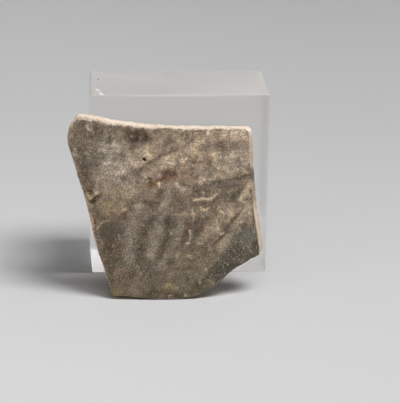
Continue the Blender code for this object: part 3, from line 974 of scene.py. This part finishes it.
def relief(x, z, depth, outer, inner, broken, edge, bare):
    """How far each point stands out from the plain wall, in mm."""
    along = x * 0.9 + z * 1.1
    face = 0.030 * noise(x, z, 3.0, 71, 2) + 0.022 * noise(x, z, 0.9, 72, 2) - 0.03 * bare
    face -= 0.75 * blob(x, z, -9.62, 37.42, 0.50, 0.30, -38, 0.9)
    face -= 0.45 * blob(x, z, -24.6, 27.4, 2.4, 1.5, -30, 0.5)
    face -= 0.22 * blob(x, z, -23.4, 23.4, 1.4, 2.6, 12, 0.6)
    face -= 0.10 * stroke(x, z, [(3.6, 26.7), (5.4, 27.1), (7.4, 27.1), (9.8, 28.0)], 0.7, 0.4)
    face -= 0.08 * stroke(x, z, [(-24.4, 46.4), (-22.9, 44.3)], 0.8, 0.5)
    sunken = [(-22.2, 19.4), (-20.4, 21.2), (-18.4, 21.4), (-18.0, 15.2), (-21.0, 15.0)]
    face -= 0.07 * area(x, z, sunken, 0.5)
    face -= (0.10 + 0.22 * noise(x, z, 0.9, 73, 2)) * (1 - smoothstep(0.1, 0.8, edge))
    rough = 0.16 * noise(along, depth, 2.6, 74, 2) + 0.10 * noise(along, depth * 1.4, 0.9, 75, 3)
    ridges = 0.035 * np.sin(z * 2.3 + 1.5 * noise(x, z, 9.0, 76, 2)) + 0.03 * noise(x, z, 1.4, 77, 3)
    return outer * face + broken * rough + inner * ridges


def fine_mesh(node):
    """The CAD sherd in world coordinates, divided finely enough to carry worn detail."""
    bpy.context.view_layer.update()
    blank_mesh = node.data.copy()
    blank_mesh.transform(node.matrix_world)
    blank = add_object("sherd_blank", blank_mesh)
    fine = blank.modifiers.new("fine", "REMESH")
    fine.mode = "VOXEL"
    fine.voxel_size = DETAIL_SIZE * MM
    mesh = bpy.data.meshes.new_from_object(blank.evaluated_get(bpy.context.evaluated_depsgraph_get()))
    mesh.name = "pottery_sherd_worn"
    bpy.data.objects.remove(blank)
    return mesh


def read_vertices(mesh, field):
    values = np.empty(len(mesh.vertices) * 3)
    mesh.vertices.foreach_get(field, values)
    return values.reshape(-1, 3)


def slip_begins(x, z):
    """How far in from the face's edge the slip begins, in mm: ragged, and wider in some places."""
    ragged = 0.14 + 0.42 * noise(x, z, 0.9, 41, 3) + 0.16 * noise(x, z, 3.0, 42, 2)
    top_left = smoothstep(-17.0, -14.0, x) * (1 - smoothstep(-8.0, -5.0, x))
    ragged += 0.22 * smoothstep(43.0, 45.0, z) * top_left
    ragged -= 0.30 * (1 - smoothstep(12.0, 18.0, z)) * smoothstep(-17.5, -15.0, x)
    # The extra width on the left is partly the real pale break and partly painted light, as the rounded
    # left break faces away from the lamps.
    ragged += (x < -17.0) * (0.24 + 0.75 * np.exp(-((z - 21.4) / 2.8) ** 2))
    return ragged - 0.22 * smoothstep(14.0, 16.5, x) * (1 - smoothstep(43.0, 45.0, z))


def fleck_clusters(x, z, quiet):
    """How strongly the fine pale and dark flecks show, from 0 to 1."""
    clusters = 0.25 + 0.75 * smoothstep(-0.30, 0.50, noise(x, z, 4.5, 43, 3))
    clusters = np.maximum(clusters, strongest(x, z, FLECKED))
    for oval in STRIATED:
        clusters *= 1.0 - 0.4 * blob(x, z, *oval)
    return clusters * (1.0 - 0.9 * quiet)


# How much paler the slip itself is than it looks on a face turned from the light.
PIGMENT = (1.52, 1.51, 1.49)
PALEST = 0.92
# The pit's oval, and the near-black painted shade laid inside it.
PIT = (-9.62, 37.42, 0.55, 0.34, -38, 0.5)
PIT_SHADE_COLOUR = (34, 27, 22)


def pigments(colours, slip):
    """Painted display colours as the linear colours of the clay and slip themselves."""
    paler = 1.0 + slip[:, None] * (np.array(PIGMENT) - 1.0)
    return np.clip(linear(np.clip(colours, 2, 255)) * paler, 0.0, PALEST)


def make_sherd():
    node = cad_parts["pottery_sherd"]
    mesh = fine_mesh(node)
    points, normals = read_vertices(mesh, "co"), read_vertices(mesh, "normal")
    x, y, z = to_lean(points).T
    depth = y - wall_face(x, z)
    out = -(math.cos(LEAN) * normals[:, 1] - math.sin(LEAN) * normals[:, 2])
    outer = smoothstep(0.45, 0.80, out)
    inner = smoothstep(0.45, 0.80, -out)
    broken = 1.0 - outer - inner
    edge = near_line(x, z, EDGE)

    face_colours, quiet, striated, bare = paint_face(x, z)
    ragged = slip_begins(x, z)
    slip = outer * smoothstep(ragged - 0.12, ragged + 0.08, edge)
    colours = paint_break(x, z, depth)
    colours = colours + slip[:, None] * (face_colours - colours)
    colours = colours + inner[:, None] * (paint_inside(x, z) - colours)
    # Painted shade: the pit is darkened almost to black.
    colours = lay(colours, 0.92 * blob(x, z, *PIT) * outer, PIT_SHADE_COLOUR)

    points += normals * (relief(x, z, depth, outer, inner, broken, edge, bare) * MM)[:, None]
    points[:, 2] = np.maximum(points[:, 2], 0.0)
    mesh.vertices.foreach_set("co", points.ravel())

    paint = mesh.color_attributes.new("paint", "FLOAT_COLOR", "POINT")
    paint.data.foreach_set("color", np.column_stack([pigments(colours, slip), np.ones(len(x))]).ravel())
    wall_at = mesh.attributes.new("wall_at", "FLOAT_VECTOR", "POINT")
    wall_at.data.foreach_set("vector", np.column_stack([x, depth, z]).ravel())
    shares = [
        ("satin", slip * (0.35 + 0.65 * quiet)),
        ("slip_left", slip * fleck_clusters(x, z, quiet)),
        ("wheel_lines", slip * (0.35 + 0.65 * striated)),
    ]
    for name, values in shares:
        mesh.attributes.new(name, "FLOAT", "POINT").data.foreach_set("value", values)
    mesh.update()
    mesh.shade_smooth()

    mesh.materials.clear()
    mesh.materials.append(slipped_pottery())
    sherd = add_object("pottery_sherd_worn", mesh)
    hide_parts("pottery_sherd")
    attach(sherd, "sherd")


# How far the finest grain of the slip goes lighter and darker, as a share.
GRAIN = 0.56
WHEEL_TONE = 0.09
PALE_FLECK = srgb(206, 190, 165)
DARK_FLECK = srgb(84, 70, 56)
BUMP_STRENGTH = 0.6
BUMP_HEIGHT = 0.08 * MM


def slipped_pottery():
    """Worn slip over buff clay: painted colours, fine grain, wheel lines and a dull sheen."""
    look = Look("slipped_pottery")
    wall_at = look.attribute("wall_at", "Vector")
    slip = look.attribute("slip_left")
    wheel_lines = look.attribute("wheel_lines")

    def texture(scale, detail, stretch):
        """Noise on the wall's own mm coordinates."""
        return look.noise(look.stretched(wall_at, stretch), scale, detail)

    def multiply(a, b):
        return look.combine("MULTIPLY", a, b)

    grain = texture(2.9, 4.0, (0.9, 1.0, 1.0))
    wheel = texture(2.4, 3.0, (0.12, 1.0, 1.0))
    pale_flecks = look.spread(texture(2.2, 5.0, (0.75, 1.0, 1.0)), 0.58, 0.65, 0.0, 0.85)
    dark_flecks = look.spread(texture(2.0, 5.0, (0.8, 0.7, 1.1)), 0.58, 0.66, 0.0, 0.75)
    on_slip = look.spread(wheel_lines, 0.0, 0.35, 0.4, 1.0)
    strength = multiply(look.spread(grain, 0.3, 0.7, -GRAIN, GRAIN), on_slip)
    wheel_tone = look.spread(wheel, 0.3, 0.7, 1.0 - WHEEL_TONE, 1.0 + WHEEL_TONE)
    shade = multiply(look.spread(strength, -1.0, 1.0, 0.0, 2.0), wheel_tone)
    colour = look.scaled(look.attribute("paint", "Color"), shade)
    colour = look.mixed(multiply(pale_flecks, slip), colour, PALE_FLECK)
    colour = look.mixed(multiply(dark_flecks, slip), colour, DARK_FLECK)
    roughness = look.spread(look.attribute("satin"), 0.0, 1.0, 0.88, 0.58)
    look.surface("Base Color", colour)
    look.surface("Roughness", roughness)
    look.surface("Specular IOR Level", 0.35)

    bump = look.add("ShaderNodeBump")
    bump.inputs["Strength"].default_value = BUMP_STRENGTH
    bump.inputs["Distance"].default_value = BUMP_HEIGHT
    look.feed(bump.inputs["Height"], look.combine("ADD", multiply(wheel, wheel_lines), grain))
    look.surface("Normal", bump.outputs["Normal"])
    return look.material


make_camera()
make_stage()
make_lights()
make_room()
make_block()
make_sherd()
